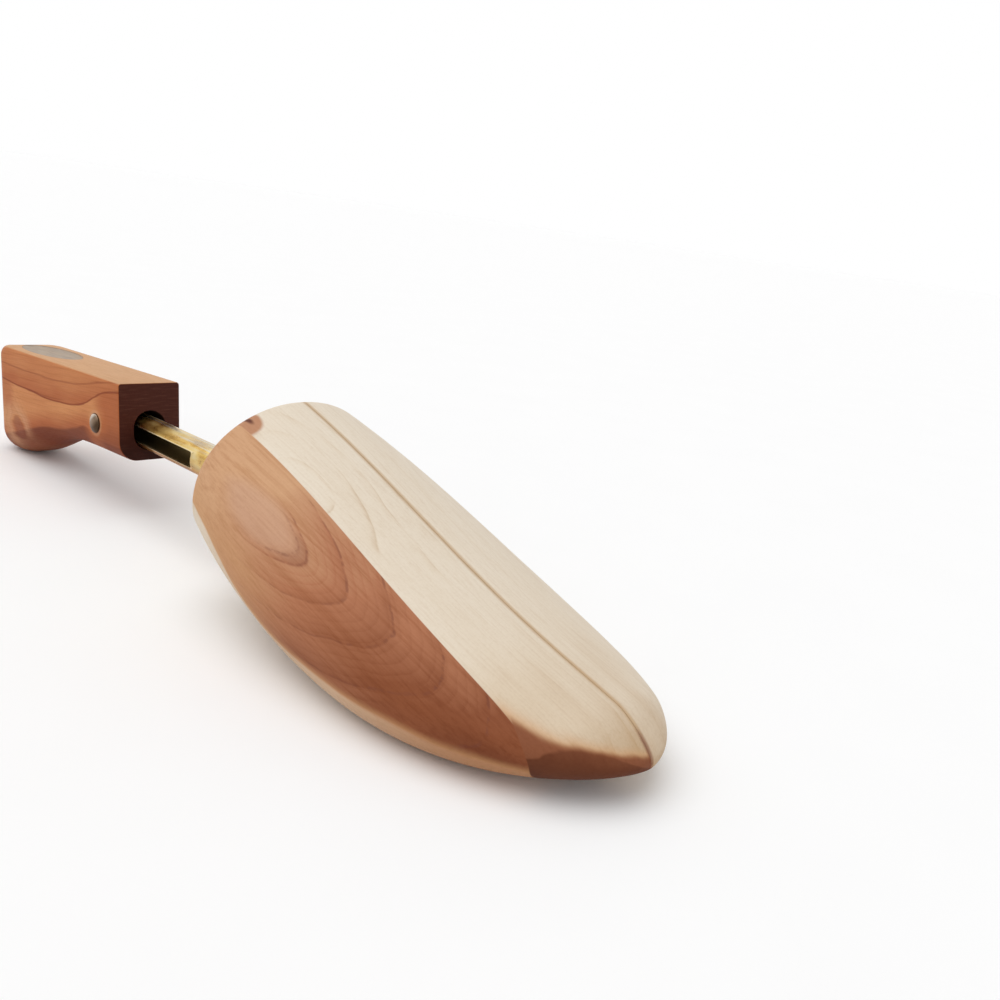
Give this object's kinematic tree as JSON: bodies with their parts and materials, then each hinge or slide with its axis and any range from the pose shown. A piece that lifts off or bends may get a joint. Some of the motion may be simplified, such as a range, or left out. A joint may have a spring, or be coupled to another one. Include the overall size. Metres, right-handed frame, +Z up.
{
  "type": "shoe tree",
  "caption": "Cedar shoe tree: a split toe block pivots on a slotted plated tube, and a bored heel block slides on the tube against a coil spring and rocks on a cross nail.",
  "frame": {"origin": "on the ground, under the middle of the tree's length and on its seam, with the tree standing on its toe and on the back of its heel", "axes": "+X along the tube towards the toe, +Y to the left of the foot, +Z up"},
  "size_m": [0.3534, 0.0826, 0.066],
  "materials": {
    "cedar_heartwood": "sanded, satin",
    "cedar_sapwood": "sanded, satin",
    "cedar_heel": "sanded, satin",
    "plated_tube": "worn, glossy plating",
    "spring_wire": "drawn, plated",
    "coil_steel": "drawn",
    "nail_steel": "bright",
    "guide_steel": "drawn",
    "label_foil": "worn, satin"
  },
  "bodies": {
    "tube": {"tube": "plated_tube"},
    "toe_core": {"toe_spring_wire": "spring_wire"},
    "right_half": {"right_toe_half": "cedar_heartwood"},
    "left_half": {"left_toe_half": "cedar_sapwood", "rear_guide_pin": "guide_steel", "front_guide_pin": "guide_steel"},
    "heel_pin": {"heel_cross_pin": "nail_steel"},
    "heel": {"heel_block": "cedar_heel", "heel_label": "label_foil", "compression_spring": "coil_steel"}
  },
  "joints": [
    {"name": "toe_pivot", "type": "hinge", "parent": "tube", "child": "toe_core", "pos_m": [0.0177, 0, 0.03263], "axis": [0, -1, 0], "range_deg": [0, 24]},
    {"name": "left_toe_spread", "type": "slide", "parent": "toe_core", "child": "left_half", "axis": [0, 1, 0], "range_m": [0, 0.003], "stiffness_N_per_m": 600, "springref_m": -0.004, "deforming": ["toe_spring_wire"]},
    {"name": "right_toe_spread", "type": "slide", "parent": "toe_core", "child": "right_half", "axis": [0, -1, 0], "range_m": [0, 0.003], "stiffness_N_per_m": 600, "springref_m": -0.004, "deforming": ["toe_spring_wire"]},
    {"name": "heel_slide", "type": "slide", "parent": "tube", "child": "heel_pin", "axis": [1, 0, 0], "range_m": [0, 0.036], "stiffness_N_per_m": 900, "springref_m": -0.01, "deforming": ["compression_spring"]},
    {"name": "heel_rock", "type": "hinge", "parent": "heel_pin", "child": "heel", "pos_m": [-0.0802, 0, 0.03263], "axis": [0, 1, 0], "range_deg": [0, 6], "deforming": ["compression_spring"]}
  ],
  "couplings": [
    {"joint": "right_toe_spread", "follows": "left_toe_spread", "ratio": 1}
  ]
}
